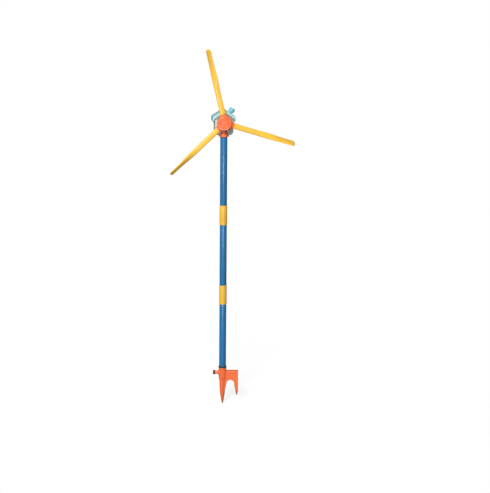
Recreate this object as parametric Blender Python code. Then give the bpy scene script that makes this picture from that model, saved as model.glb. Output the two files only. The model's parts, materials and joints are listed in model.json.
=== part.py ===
"""Garden wind turbine: a three-blade rotor on a swivelling head, a sectional pole and a ground spike.

Metres, +Z up. The origin is on the pole's axis at ground level. The spike's plate lies along +X.
The head is modelled in its own frame, with the rotor facing -Y, and stands turned by HEAD_YAW.
"""

import math

import bmesh
import bpy
from mathutils import Matrix, Vector

GAP = 0.0003  # between pieces that touch
RUNNING_GAP = 0.0001  # round a turning shaft
SEGMENTS = 30
SMALL_SEGMENTS = 18

# Pole
TUBE_RADIUS = 0.0125
TUBE_WALL = 0.0015
COUPLER_RADIUS = 0.0134
COUPLER_HEIGHTS = {"lower": (0.2890, 0.3596), "upper": (0.5822, 0.6521)}
COUPLER_SPIGOT_LENGTH = 0.034
SEAL_HEIGHTS = (0.0473, 0.0519)

# Ground spike
SOCKET_RADIUS = 0.0142
SOCKET_TOP = 0.0470
SOCKET_FLOOR = 0.0160
SPIKE_TIP = -0.0955
PLATE_TOP = 0.0344
PLATE_REACH = 0.0570
PLATE_THICKNESS = 0.0160
ARCH_CENTRE = (0.0290, -0.0140)
ARCH_RADIUS = 0.0140
PRONG_TIP = (0.0525, -0.0585)
SPIGOT_HEIGHT = 0.0270
SPIGOT_RADIUS = 0.0062
SPIGOT_END = 0.0266
PLUG_RADIUS = 0.0082
PLUG_END = 0.0350

# Collar and swivel
COLLAR_RADIUS = 0.0175
COLLAR_HEIGHTS = (0.8962, 0.9090)
NECK_RADIUS = 0.0160
NECK_TOP = 0.9213
PIVOT_RADIUS = 0.0057
PIVOT_TOP = 0.9248
HEAD_YAW = math.radians(8)

# Head
HUB_HEIGHT = 0.9460
NACELLE_HALF_WIDTH = 0.0320
NACELLE_BOTTOM = 0.9015
NACELLE_CORNER = 0.0130
NACELLE_FRONT = -0.0120
NACELLE_SPLIT = 0.0190
NACELLE_REAR = 0.0380
WALL = 0.0022
ROOF_SLOPE = math.radians(33)
ROOF_PEAK = 0.9905
ROOF_HALF_WIDTH = 0.0402
ROOF_DEPTH = 0.0128  # measured straight down
ROOF_SPAN = (-0.0150, 0.0410)
EAVE_HEIGHT = 0.0165  # at the eave's end, measured straight down
UNDERCUT = (0.0085, 0.0092, 0.0040)  # at the front: its depth, its rise at the eaves and elsewhere
CUP_TOP = 0.9245

# Rotor, measured forwards from the blades' plane
ROTOR_OFFSET = 0.0285
BLADE_RADIUS = 0.2583
BLADE_ROOT = 0.0220
BLADE_PHASE = math.radians(103.2)
BLADE_CHORDS = (0.0193, 0.0295)
BLADE_THICKNESSES = (0.0092, 0.0050)
BLADE_TWIST = math.radians(58)
TWIST_SPAN = (0.125, 0.235)
TIP_ROUNDING = 0.0110
DRUM_RADIUS = 0.0262
DRUM_SPAN = (-0.0090, 0.0070)
SOCKET_MOUTH = 0.0325
CAP_RADIUS = 0.0240
CAP_FACE_RADIUS = 0.0162
CAP_FRONT = 0.0135
SHAFT_RADIUS = 0.0030

# Gears
TOOTH_MODULE = 0.0009
DRIVE_TEETH = 32
PINION_TEETH = 8
GEAR_SPAN = (0.0220, 0.0268)
PINION_DIRECTION = math.radians(195)

# Knob, standing square on the right-hand slope of the roof
KNOB_ACROSS = 0.0208
KNOB_DEPTH = 0.0040
KNOB_RADIUS = 0.0099
KNOB_SPAN = (0.0045, 0.0198)
SPINDLE_RADIUS = 0.0024

CASE_SCREWS = ((-0.0248, 0.9125), (0.0248, 0.9125), (0.0, 0.9680))
POST_RADIUS = 0.0034

COLOURS = {
    "orange": ((0.93, 0.18, 0.07), 0.42, 0.0),
    "yellow": ((0.92, 0.50, 0.05), 0.42, 0.0),
    "blue": ((0.045, 0.20, 0.45), 0.35, 0.0),
    "teal": ((0.42, 0.78, 0.78), 0.40, 0.0),
    "light_blue": ((0.25, 0.62, 0.75), 0.40, 0.0),
    "pale_grey": ((0.58, 0.66, 0.63), 0.45, 0.0),
    "dark_red": ((0.17, 0.045, 0.035), 0.50, 0.0),
    "rubber": ((0.02, 0.017, 0.012), 0.75, 0.0),
    "steel": ((0.60, 0.60, 0.62), 0.30, 1.0),
    "white_nylon": ((0.80, 0.79, 0.74), 0.50, 0.0),
    "board_green": ((0.03, 0.22, 0.09), 0.55, 0.0),
    "black": ((0.03, 0.03, 0.03), 0.50, 0.0),
}


def clear_scene():
    for obj in list(bpy.data.objects):
        bpy.data.objects.remove(obj, do_unlink=True)


def material(name):
    found = bpy.data.materials.get(name)
    if found:
        return found
    colour, roughness, metallic = COLOURS[name]
    made = bpy.data.materials.new(name)
    made.use_nodes = True
    shader = made.node_tree.nodes["Principled BSDF"]
    shader.inputs["Base Color"].default_value = (*colour, 1.0)
    shader.inputs["Roughness"].default_value = roughness
    shader.inputs["Metallic"].default_value = metallic
    return made


# ---------------------------------------------------------------- meshes


def bridge(mesh, rings, closed=False):
    """Joins rings of vertices with faces. A ring of one vertex is a point."""
    pairs = list(zip(rings, rings[1:]))
    if closed:
        pairs.append((rings[-1], rings[0]))
    for first, second in pairs:
        count = max(len(first), len(second))
        for i in range(count):
            j = (i + 1) % count
            corners = [first[i % len(first)], first[j % len(first)]]
            corners += [second[j % len(second)], second[i % len(second)]]
            mesh.faces.new(list(dict.fromkeys(corners)))


def outward(mesh):
    bmesh.ops.recalc_face_normals(mesh, faces=mesh.faces)
    if mesh.calc_volume(signed=True) < 0:
        bmesh.ops.reverse_faces(mesh, faces=mesh.faces)
    return mesh


def loft(rings, closed=False, caps=True):
    """A solid through rings of points, with flat ends where an end isn't a single point."""
    mesh = bmesh.new()
    made = [[mesh.verts.new(point) for point in ring] for ring in rings]
    bridge(mesh, made, closed)
    if caps and not closed:
        for ring in (made[0], made[-1]):
            if len(ring) > 2:
                mesh.faces.new(ring)
    return outward(mesh)


def turned(profile, closed=False, segments=SEGMENTS):
    """Turns (radius, height) points about Z. A closed profile makes a ring, any other a full solid."""
    rings = []
    for radius, height in profile:
        if radius == 0:
            rings.append([Vector((0, 0, height))])
            continue
        angles = (2 * math.pi * i / segments for i in range(segments))
        rings.append([Vector((radius * math.cos(a), radius * math.sin(a), height)) for a in angles])
    return loft(rings, closed)


def pipe(outer, inner, low, high, chamfer=0.0004, segments=SEGMENTS):
    """A plain ring with its outer edges broken."""
    return turned(
        [
            (inner, low),
            (outer - chamfer, low),
            (outer, low + chamfer),
            (outer, high - chamfer),
            (outer - chamfer, high),
            (inner, high),
        ],
        closed=True,
        segments=segments,
    )


def rod(radius, low, high, chamfer=0.0003, segments=SEGMENTS):
    return turned(
        [
            (0, low),
            (radius - chamfer, low),
            (radius, low + chamfer),
            (radius, high - chamfer),
            (radius - chamfer, high),
            (0, high),
        ],
        segments=segments,
    )


def arc(centre, radius, start, end, steps):
    """Points along an arc, angles in degrees."""
    angles = [math.radians(start + (end - start) * i / steps) for i in range(steps + 1)]
    return [(centre[0] + radius * math.cos(a), centre[1] + radius * math.sin(a)) for a in angles]


def offset(outline, distance):
    """Moves each side of a counter-clockwise outline inwards, corners mitred."""
    moved = []
    for i, point in enumerate(outline):
        here = Vector(point)
        before = (here - Vector(outline[i - 1])).normalized()
        after = (Vector(outline[(i + 1) % len(outline)]) - here).normalized()
        normals = [Vector((-side.y, side.x)) for side in (before, after)]
        middle = (normals[0] + normals[1]).normalized()
        moved.append(here + middle * distance / max(0.3, middle.dot(normals[0])))
    return moved


def prism(outline, start, end, rounding=(0, 0), steps=3):
    """An XZ outline drawn along Y, each end rounded over by its own radius."""
    turns = [math.pi / 2 * step / steps for step in range(steps + 1)]
    first, last = rounding
    places = [(start + first * (1 - math.cos(t)), first * (1 - math.sin(t))) for t in turns]
    places += [(end - last * (1 - math.cos(t)), last * (1 - math.sin(t))) for t in reversed(turns)]
    rings = []
    for place, inset in dict.fromkeys(places):
        rings.append([Vector((x, place, z)) for x, z in offset(outline, inset)])
    return loft(rings)


def clipped(mesh, front):
    """Cuts away what lies in front of a plane across Y, and closes the cut."""
    geometry = [*mesh.verts, *mesh.edges, *mesh.faces]
    bmesh.ops.bisect_plane(mesh, geom=geometry, plane_co=(0, front, 0), plane_no=(0, -1, 0), clear_outer=True)
    open_edges = [edge for edge in mesh.edges if edge.is_boundary]
    bmesh.ops.edgeloop_fill(mesh, edges=open_edges)
    return mesh


# ---------------------------------------------------------------- objects


def add(name, mesh, colour, parent=None, matrix=None):
    """A named object from a bmesh, shaded smooth with sharp edges kept."""
    data = bpy.data.meshes.new(name)
    outward(mesh).to_mesh(data)
    mesh.free()
    data.shade_smooth()
    data.set_sharp_from_angle(angle=math.radians(35))
    obj = bpy.data.objects.new(name, data)
    bpy.context.scene.collection.objects.link(obj)
    obj.parent = parent
    obj.matrix_basis = matrix or Matrix()
    if colour:
        data.materials.append(material(colour))
    return obj


def tool(name, mesh, parent=None, matrix=None):
    """A shape that is only added to or cut from another."""
    obj = add(name, mesh, None, parent, matrix)
    obj.hide_render = True
    obj.display_type = "WIRE"
    return obj


def boolean(obj, operation, others, solver="EXACT"):
    for other in others:
        modifier = obj.modifiers.new(other.name, "BOOLEAN")
        modifier.operation = operation
        modifier.solver = solver
        modifier.object = other


def empty(name, matrix, parent=None):
    obj = bpy.data.objects.new(name, None)
    bpy.context.scene.collection.objects.link(obj)
    obj.parent = parent
    obj.matrix_basis = matrix
    return obj


def place(x=0.0, y=0.0, z=0.0):
    return Matrix.Translation((x, y, z))


def facing_front(x=0.0, y=0.0, z=0.0):
    """Turns a shape's +Z to the head's front, -Y."""
    return place(x, y, z) @ Matrix.Rotation(math.pi / 2, 4, "X")


def facing_back(x=0.0, y=0.0, z=0.0):
    return place(x, y, z) @ Matrix.Rotation(-math.pi / 2, 4, "X")


# ---------------------------------------------------------------- pole


def build_tubes():
    lower, upper = COUPLER_HEIGHTS["lower"], COUPLER_HEIGHTS["upper"]
    spans = {
        "lower_tube": (SOCKET_FLOOR + GAP, lower[0] - GAP),
        "middle_tube": (lower[1] + GAP, upper[0] - GAP),
        "upper_tube": (upper[1] + GAP, COLLAR_HEIGHTS[0] + 0.0070),
    }
    for name, (low, high) in spans.items():
        add(name, pipe(TUBE_RADIUS, TUBE_RADIUS - TUBE_WALL, low, high), "blue")


def build_coupler(name, low, high):
    """A band between two tubes, with a spigot inside each of them."""
    spigot = TUBE_RADIUS - TUBE_WALL - GAP
    bore = spigot - 0.0022
    reach = COUPLER_SPIGOT_LENGTH
    edge = 0.0006
    outer = [
        (spigot - edge, low - reach),
        (spigot, low - reach + edge),
        (spigot, low),
        (COUPLER_RADIUS - edge, low),
        (COUPLER_RADIUS, low + edge),
        (COUPLER_RADIUS, high - edge),
        (COUPLER_RADIUS - edge, high),
        (spigot, high),
        (spigot, high + reach - edge),
        (spigot - edge, high + reach),
    ]
    profile = [(bore, low - reach), *outer, (bore, high + reach)]
    add(name, turned(profile, closed=True), "yellow")


def build_seal_ring():
    low, high = SEAL_HEIGHTS
    outer = TUBE_RADIUS + 0.0024
    inner = TUBE_RADIUS + GAP
    edge = 0.0012
    lower = arc((outer - edge, low + edge), edge, -90, 0, 3)
    upper = arc((outer - edge, high - edge), edge, 0, 90, 3)
    add("seal_ring", turned([(inner, low), *lower, *upper, (inner, high)], closed=True), "rubber")


def build_neck_collar():
    """Collar outside the top tube, plug inside it, and the pivot that the head turns on."""
    low, high = COLLAR_HEIGHTS
    plug = TUBE_RADIUS - TUBE_WALL - GAP
    shoulder = low + 0.0070 + GAP
    hollow, screw_hole = 0.0080, 0.0017
    profile = [
        (screw_hole, PIVOT_TOP),
        (screw_hole, NECK_TOP - 0.0040),
        (hollow, NECK_TOP - 0.0040),
        (hollow, shoulder - 0.0330),
        (plug - 0.0010, shoulder - 0.0330),
        (plug, shoulder - 0.0320),
        (plug, shoulder),
        (TUBE_RADIUS + GAP, shoulder),
        (TUBE_RADIUS + GAP, low),
        (COLLAR_RADIUS - 0.0010, low),
        (COLLAR_RADIUS, low + 0.0010),
        *arc((COLLAR_RADIUS - 0.0014, high - 0.0014), 0.0014, 0, 90, 3),
        (NECK_RADIUS, high),
        (NECK_RADIUS, NECK_TOP),
        (PIVOT_RADIUS, NECK_TOP),
        (PIVOT_RADIUS, PIVOT_TOP),
    ]
    add("neck_collar", turned(profile, closed=True), "orange")


def build_yaw_fasteners():
    washer_low = PIVOT_TOP + GAP
    washer = pipe(0.0085, 0.0018, washer_low, washer_low + 0.0010, 0.0002, SMALL_SEGMENTS)
    add("yaw_washer", washer, "steel")
    head = washer_low + 0.0010 + GAP
    screw = turned(
        [
            (0, PIVOT_TOP - 0.0090),
            (0.0008, PIVOT_TOP - 0.0085),
            (0.0014, PIVOT_TOP - 0.0070),
            (0.0014, head),
            (0.0032, head),
            *arc((0.0020, head + 0.0010), 0.0012, 0, 80, 3),
            (0, head + 0.0023),
        ],
        segments=SMALL_SEGMENTS,
    )
    add("yaw_screw", screw, "steel")


# ---------------------------------------------------------------- ground spike


def spike_outline():
    """The tread plate, the arch under it and the second prong, in XZ, counter-clockwise."""
    tip_x, tip_z = PRONG_TIP
    arch_x, arch_z = ARCH_CENTRE
    arch = arc(ARCH_CENTRE, ARCH_RADIUS, 180, 0, 12)
    return [
        (0.0020, PLATE_TOP),
        (0.0020, -0.0560),
        (0.0060, -0.0520),
        (arch_x - ARCH_RADIUS - 0.0035, -0.0320),
        *arch,
        (arch_x + ARCH_RADIUS + 0.0004, arch_z - 0.0060),
        (tip_x - 0.0050, -0.0400),
        *arc((tip_x, tip_z + 0.0018), 0.0018, 200, 330, 4),
        (PLATE_REACH, -0.0420),
        *arc((PLATE_REACH - 0.0020, PLATE_TOP - 0.0020), 0.0020, 0, 90, 3),
    ]


def spike_profile():
    """The main spike and its tube socket, turned about the pole's axis."""
    return [
        (0, SPIKE_TIP),
        *arc((0, SPIKE_TIP + 0.0012), 0.0012, -60, -10, 3),
        (0.0026, -0.0880),
        (0.0052, -0.0770),
        (0.0084, -0.0570),
        (0.0105, -0.0300),
        (0.0118, 0.0030),
        (SOCKET_RADIUS - 0.0006, 0.0052),
        (SOCKET_RADIUS, 0.0060),
        (SOCKET_RADIUS, SOCKET_TOP - 0.0008),
        (SOCKET_RADIUS - 0.0008, SOCKET_TOP),
        (0, SOCKET_TOP),
    ]


def build_ground_spike():
    spike = add("ground_spike", turned(spike_profile()), "orange")
    half = PLATE_THICKNESS / 2
    plate = tool("plate_shape", prism(spike_outline(), -half, half, (0.0014, 0.0014), 2))
    sideways = place(0, 0, SPIGOT_HEIGHT) @ Matrix.Rotation(-math.pi / 2, 4, "Y")
    spigot = turned(
        [
            (0, 0),
            (SPIGOT_RADIUS + 0.0035, 0),
            (SPIGOT_RADIUS + 0.0035, SOCKET_RADIUS - 0.0004),
            (SPIGOT_RADIUS + 0.0012, SOCKET_RADIUS + 0.0018),
            (SPIGOT_RADIUS, SOCKET_RADIUS + 0.0050),
            (SPIGOT_RADIUS, SPIGOT_END - 0.0006),
            (SPIGOT_RADIUS - 0.0006, SPIGOT_END),
            (0, SPIGOT_END),
        ],
        segments=24,
    )
    spigot_shape = tool("spigot_shape", spigot, matrix=sideways)
    boolean(spike, "UNION", [plate, spigot_shape])
    socket = tool("socket_cut", rod(TUBE_RADIUS + GAP, SOCKET_FLOOR, SOCKET_TOP + 0.01))
    bore = tool("spigot_bore", rod(0.0043, SOCKET_RADIUS + 0.0010, 0.04, segments=16), matrix=sideways)
    boolean(spike, "DIFFERENCE", [socket, bore])
    plug = turned(
        [
            (0, SOCKET_RADIUS + 0.0030),
            (0.0034, SOCKET_RADIUS + 0.0030),
            (0.0040, SOCKET_RADIUS + 0.0036),
            (0.0040, SPIGOT_END + GAP),
            (PLUG_RADIUS - 0.0008, SPIGOT_END + GAP),
            (PLUG_RADIUS, SPIGOT_END + GAP + 0.0008),
            *arc((PLUG_RADIUS - 0.0012, PLUG_END - 0.0012), 0.0012, 0, 90, 3),
            (0, PLUG_END),
        ],
        segments=24,
    )
    add("spigot_plug", plug, "dark_red", matrix=sideways)


# ---------------------------------------------------------------- head


def nacelle_outline(inset=0.0):
    """The head's section: upright sides, rounded lower corners and a gabled top, counter-clockwise."""
    side = NACELLE_HALF_WIDTH
    rise = math.tan(ROOF_SLOPE)
    peak = ROOF_PEAK - ROOF_DEPTH - 0.0005
    corner = NACELLE_CORNER
    outline = [
        (0, peak),
        (-side, peak - side * rise),
        *arc((-side + corner, NACELLE_BOTTOM + corner), corner, 180, 270, 5),
        *arc((side - corner, NACELLE_BOTTOM + corner), corner, 270, 360, 5),
        (side, peak - side * rise),
    ]
    return offset(outline, inset)


def head_tube(name, outer, low, high, matrix, head, segments=24):
    return tool(name, rod(outer, low, high, 0.0001, segments), head, matrix)


def build_nacelle_front(head):
    shell = add(
        "nacelle_front",
        prism(nacelle_outline(), NACELLE_FRONT, NACELLE_SPLIT, (0.0038, 0)),
        "pale_grey",
        head,
    )
    hollow = prism(nacelle_outline(WALL), NACELLE_FRONT + WALL, NACELLE_SPLIT + 0.01)
    boolean(shell, "DIFFERENCE", [tool("front_hollow", hollow, head)])
    cup = rod(COLLAR_RADIUS + 0.0012, NACELLE_BOTTOM + 0.0010, CUP_TOP, 0.0001)
    cup = tool("neck_cup", clipped(cup, NACELLE_FRONT + 0.0010), head)
    front_wall = NACELLE_FRONT + 0.0010
    boss = head_tube("front_boss", 0.0085, 0, 0.0090, facing_back(0, front_wall, HUB_HEIGHT), head)
    post = NACELLE_SPLIT - front_wall - GAP
    posts = [
        head_tube(f"front_post_{i}", POST_RADIUS, 0, post, facing_back(x, front_wall, z), head, 14)
        for i, (x, z) in enumerate(CASE_SCREWS, 1)
    ]
    boolean(shell, "UNION", [cup, boss, *posts])
    neck = head_tube("neck_recess", NECK_RADIUS + GAP, 0.88, NECK_TOP + GAP, Matrix(), head, SEGMENTS)
    collar_top = COLLAR_HEIGHTS[1] + GAP
    collar = head_tube("collar_recess", COLLAR_RADIUS + GAP, 0.88, collar_top, Matrix(), head, SEGMENTS)
    pivot = head_tube("pivot_hole", PIVOT_RADIUS + RUNNING_GAP, 0.88, 0.93, Matrix(), head)
    seat = facing_back(0, NACELLE_FRONT, HUB_HEIGHT)
    bush_seat = head_tube("front_bush_seat", 0.0060, -0.01, 0.02, seat, head)
    cuts = [neck, collar, pivot, bush_seat]
    for i, (x, z) in enumerate(CASE_SCREWS, 1):
        hole = facing_back(x, NACELLE_SPLIT - 0.0150, z)
        cuts.append(head_tube(f"front_screw_hole_{i}", 0.0017, 0, 0.03, hole, head, 10))
    cuts.append(spindle_cut("front_spindle_hole", head))
    boolean(shell, "DIFFERENCE", cuts, "MANIFOLD")


def build_nacelle_rear(head):
    shell = add(
        "nacelle_rear",
        prism(nacelle_outline(), NACELLE_SPLIT + GAP, NACELLE_REAR, (0, 0.0025)),
        "pale_grey",
        head,
    )
    hollow = prism(nacelle_outline(WALL), NACELLE_SPLIT - 0.01, NACELLE_REAR - WALL)
    boolean(shell, "DIFFERENCE", [tool("rear_hollow", hollow, head)])
    rear_wall = NACELLE_REAR - 0.0010
    boss = head_tube("rear_boss", 0.0085, 0, 0.0090, facing_front(0, rear_wall, HUB_HEIGHT), head)
    post = rear_wall - NACELLE_SPLIT - 2 * GAP
    posts = [
        head_tube(f"rear_post_{i}", POST_RADIUS, 0, post, facing_front(x, rear_wall, z), head, 14)
        for i, (x, z) in enumerate(CASE_SCREWS, 1)
    ]
    boolean(shell, "UNION", [boss, *posts])
    bush_seat = facing_front(0, NACELLE_REAR - WALL, HUB_HEIGHT)
    cuts = [head_tube("rear_bush_seat", 0.0060, 0, 0.02, bush_seat, head)]
    for i, (x, z) in enumerate(CASE_SCREWS, 1):
        back = facing_front(x, NACELLE_REAR + 0.0020, z)
        cuts.append(head_tube(f"rear_screw_hole_{i}", 0.0017, 0, 0.03, back, head, 10))
        cuts.append(head_tube(f"rear_head_seat_{i}", 0.0031, 0, 0.0042, back, head, 14))
    boolean(shell, "DIFFERENCE", cuts, "MANIFOLD")


def build_case_screws(head):
    screw = turned(
        [
            (0, -0.0250),
            (0.0010, -0.0240),
            (0.0014, -0.0225),
            (0.0014, 0),
            (0.0027, 0),
            (0.0027, 0.0010),
            (0.0019, 0.0016),
            (0, 0.0018),
        ],
        segments=12,
    )
    seat = NACELLE_REAR - 0.0022 + GAP
    for i, (x, z) in enumerate(CASE_SCREWS, 1):
        add(f"case_screw_{i}", screw.copy(), "steel", head, facing_back(x, seat, z))
    screw.free()


def roof_outline(undercut=0.0):
    """The roof's gable: two slopes, drooping rounded eaves and an open underside, counter-clockwise."""
    rise = math.tan(ROOF_SLOPE)
    eave_top = ROOF_PEAK - ROOF_HALF_WIDTH * rise
    inner = ROOF_PEAK - ROOF_DEPTH + UNDERCUT[2] * undercut
    top_radius, low_radius, edge = 0.0034, 0.0036, ROOF_HALF_WIDTH
    low_centre = eave_top - EAVE_HEIGHT + low_radius + UNDERCUT[1] * undercut
    side = NACELLE_HALF_WIDTH
    return [
        *arc((0, ROOF_PEAK - 0.0075), 0.0064, 122, 58, 4)[::-1],
        *arc((-edge + top_radius, eave_top - 0.0014), top_radius, 122, 180, 4),
        *arc((-edge + low_radius, low_centre), low_radius, 180, 290, 5),
        (-side, inner - side * rise),
        (0, inner),
        (side, inner - side * rise),
        *arc((edge - low_radius, low_centre), low_radius, 250, 360, 5),
        *arc((edge - top_radius, eave_top - 0.0014), top_radius, 0, 58, 4),
    ]


def roof_mesh():
    """The roof drawn along Y, with rounded ends and an undercut that curves back under its front."""
    start, end = ROOF_SPAN
    edge = 0.0016
    turns = [math.pi / 2 * step / 3 for step in range(4)]
    places = [(edge * (1 - math.cos(t)), edge * (1 - math.sin(t))) for t in turns]
    places += [(edge + (UNDERCUT[0] - edge) * step / 4, 0) for step in range(1, 5)]
    rings = []
    for back, inset in places:
        undercut = 1 - math.sqrt(1 - (1 - back / UNDERCUT[0]) ** 2)
        outline = offset(roof_outline(undercut), inset)
        rings.append([Vector((x, start + back, z)) for x, z in outline])
    for t in reversed(turns):
        outline = offset(roof_outline(), edge * (1 - math.sin(t)))
        rings.append([Vector((x, end - edge * (1 - math.cos(t)), z)) for x, z in outline])
    return loft(rings)


def build_roof(head):
    roof = add("roof_cover", roof_mesh(), "teal", head)
    rise = math.tan(ROOF_SLOPE)
    half = NACELLE_HALF_WIDTH - 0.0030
    top, low = ROOF_PEAK - 0.0045, ROOF_PEAK - ROOF_DEPTH - 0.0040
    hollow = [(0, top), (-half, top - half * rise), (-half, low - half * rise), (0, low)]
    hollow += [(half, low - half * rise), (half, top - half * rise)]
    hollow = prism(hollow, NACELLE_FRONT + 0.0010, NACELLE_REAR - 0.0010)
    boolean(roof, "DIFFERENCE", [tool("roof_hollow", hollow, head), spindle_cut("roof_spindle_hole", head)])


def knob_matrix():
    """The knob's axis: square to the right-hand slope, from its surface outwards."""
    height = ROOF_PEAK - KNOB_ACROSS * math.tan(ROOF_SLOPE)
    return place(KNOB_ACROSS, KNOB_DEPTH, height) @ Matrix.Rotation(ROOF_SLOPE, 4, "Y")


def spindle_cut(name, head):
    return head_tube(name, SPINDLE_RADIUS + RUNNING_GAP, -0.0165, 0.01, knob_matrix(), head, 24)


def bush(flange_radius):
    """A flanged bush, flange at the low end, running along +Z."""
    seat = 0.0060 - GAP
    bore = SHAFT_RADIUS + RUNNING_GAP * 0.5
    return turned(
        [
            (bore, 0),
            (flange_radius, 0),
            (flange_radius, 0.0008),
            (seat, 0.0008),
            (seat, 0.0075),
            (bore, 0.0075),
        ],
        closed=True,
        segments=24,
    )


def build_bushes(head):
    front = facing_back(0, NACELLE_FRONT - 0.0008 - GAP, HUB_HEIGHT)
    add("front_bush", bush(0.0080), "white_nylon", head, front)
    inner_face = NACELLE_REAR - 0.0010 - 0.0090
    rear = facing_back(0, inner_face - 0.0008 - GAP, HUB_HEIGHT)
    add("rear_bush", bush(0.0080), "white_nylon", head, rear)


def generator_centre():
    spacing = TOOTH_MODULE * (DRIVE_TEETH + PINION_TEETH) / 2
    return spacing * math.cos(PINION_DIRECTION), HUB_HEIGHT + spacing * math.sin(PINION_DIRECTION)


def build_generator(head):
    x, z = generator_centre()
    can_radius = 0.0091
    can = turned(
        [
            (0, 0.0120),
            (0.0011, 0.0120),
            (0.0011, 0.0240),
            (0.0032, 0.0240),
            (0.0032, 0.0220),
            (can_radius - 0.0006, 0.0220),
            (can_radius, 0.0214),
            (can_radius, 0.0006),
            (can_radius - 0.0006, 0),
            (0, 0),
        ],
        segments=24,
    )
    add("generator", can, "steel", head, facing_back(x, -0.0060, z))
    clamp = pipe(0.0111, can_radius + GAP, 0.0080, 0.0150, segments=24)
    add("generator_clamp", clamp, "black", head, facing_back(x, -0.0060, z))


def build_electrics(head):
    board = prism([(0.0266, 0.0), (0.0282, 0.0), (0.0282, 0.0230), (0.0266, 0.0230)], -0.0060, 0.0150)
    add("circuit_board", board, "board_green", head, place(0, 0, 0.9215))
    switch = rod(0.0070, -0.0235, -0.0155, 0.0004, 32)
    body = add("switch_body", switch, "black", head, knob_matrix())
    hole = head_tube("switch_hole", SPINDLE_RADIUS + RUNNING_GAP, -0.0220, 0, knob_matrix(), head, 24)
    boolean(body, "DIFFERENCE", [hole])


# ---------------------------------------------------------------- rotor


def blade_section(radius, extra=0.0):
    """One section of a blade that lies along +X, chord along Y, flat side towards +Z."""
    start, end = TWIST_SPAN
    turn = BLADE_TWIST * math.sin(math.pi / 2 * min(1, max(0, (radius - start) / (end - start))))
    growth = max(0, (radius - start) / (BLADE_RADIUS - start))
    chord = BLADE_CHORDS[0] + (BLADE_CHORDS[1] - BLADE_CHORDS[0]) * growth
    thickness = BLADE_THICKNESSES[0] + (BLADE_THICKNESSES[1] - BLADE_THICKNESSES[0]) * growth
    fade = max(0, (radius - BLADE_RADIUS + TIP_ROUNDING) / TIP_ROUNDING)
    narrowing = math.sqrt(max(0.02, 1 - fade * fade))
    half_chord = chord / 2 * narrowing + extra
    half_thickness = thickness / 2 * narrowing + extra
    section = []
    for i in range(16):
        angle = 2 * math.pi * i / 16
        across = half_chord * math.cos(angle)
        through = half_thickness * math.copysign(abs(math.sin(angle)) ** 0.8, math.sin(angle))
        side = across * math.cos(turn) + through * math.sin(turn)
        forward = through * math.cos(turn) - across * math.sin(turn)
        section.append(Vector((radius, side, forward)))
    return section


def blade_mesh():
    twisted_end = BLADE_RADIUS - TIP_ROUNDING
    twisted = [TWIST_SPAN[0] + (twisted_end - TWIST_SPAN[0]) * i / 9 for i in range(9)]
    tip = [twisted_end + TIP_ROUNDING * math.sin(math.pi / 2 * i / 4) for i in range(5)]
    return loft([blade_section(radius) for radius in [BLADE_ROOT, *twisted, *tip]])


def turned_to(index):
    return Matrix.Rotation(BLADE_PHASE + index * 2 * math.pi / 3, 4, "Z")


def build_blades(rotor):
    mesh = blade_mesh()
    for index in range(3):
        add(f"blade_{index + 1}", mesh.copy(), "yellow", rotor, turned_to(index))
    mesh.free()


def socket_mesh():
    """One blade socket along +X: a flattened cone with a blunt mouth."""
    rings = []
    for radius, half_width, half_height in (
        (0.0120, 0.0142, 0.0066),
        (0.0240, 0.0124, 0.0066),
        (0.0290, 0.0117, 0.0064),
        (SOCKET_MOUTH - 0.0010, 0.0114, 0.0062),
        (SOCKET_MOUTH, 0.0107, 0.0055),
    ):
        ring = []
        for i in range(20):
            angle = 2 * math.pi * i / 20
            across = half_width * math.copysign(abs(math.cos(angle)) ** 0.8, math.cos(angle))
            through = half_height * math.copysign(abs(math.sin(angle)) ** 0.8, math.sin(angle))
            ring.append(Vector((radius, across, through)))
        rings.append(ring)
    return loft(rings)


def build_hub(rotor):
    low, high = DRUM_SPAN
    edge = 0.0020
    drum = turned(
        [
            (0, low),
            *arc((DRUM_RADIUS - edge, low + edge), edge, -90, 0, 3),
            *arc((DRUM_RADIUS - edge, high - edge), edge, 0, 90, 3),
            (0, high),
        ]
    )
    hub = add("hub_body", drum, "orange", rotor)
    sockets, pockets = [], []
    for index in range(3):
        sockets.append(tool(f"socket_{index + 1}", socket_mesh(), rotor, turned_to(index)))
        pocket = loft([blade_section(r, GAP) for r in (BLADE_ROOT - GAP, SOCKET_MOUTH + 0.004)])
        pockets.append(tool(f"pocket_{index + 1}", pocket, rotor, turned_to(index)))
    boolean(hub, "UNION", sockets)
    bore = tool("hub_bore", rod(SHAFT_RADIUS + GAP, -0.02, 0.02, 0.0001, 24), rotor)
    boolean(hub, "DIFFERENCE", [*pockets, bore])


def build_hub_cap(rotor):
    """A round front cover: a flat face in a groove, a broad rounded rim and a hollow back over the screw."""
    back = DRUM_SPAN[1] + GAP
    face = CAP_FRONT - 0.0003
    floor = CAP_FRONT - 0.0026
    profile = [
        (0, face),
        (CAP_FACE_RADIUS - 0.0004, face),
        (CAP_FACE_RADIUS, face - 0.0004),
        (CAP_FACE_RADIUS + 0.0002, floor),
        (CAP_FACE_RADIUS + 0.0018, floor),
        *arc((CAP_RADIUS - 0.0048, CAP_FRONT - 0.0048), 0.0048, 100, 0, 7),
        (CAP_RADIUS, back + 0.0006),
        (CAP_RADIUS - 0.0006, back),
        (0.0100, back),
        (0.0100, floor - 0.0010),
        (0, floor - 0.0010),
    ]
    add("hub_cap", turned(profile), "orange", rotor)


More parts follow.
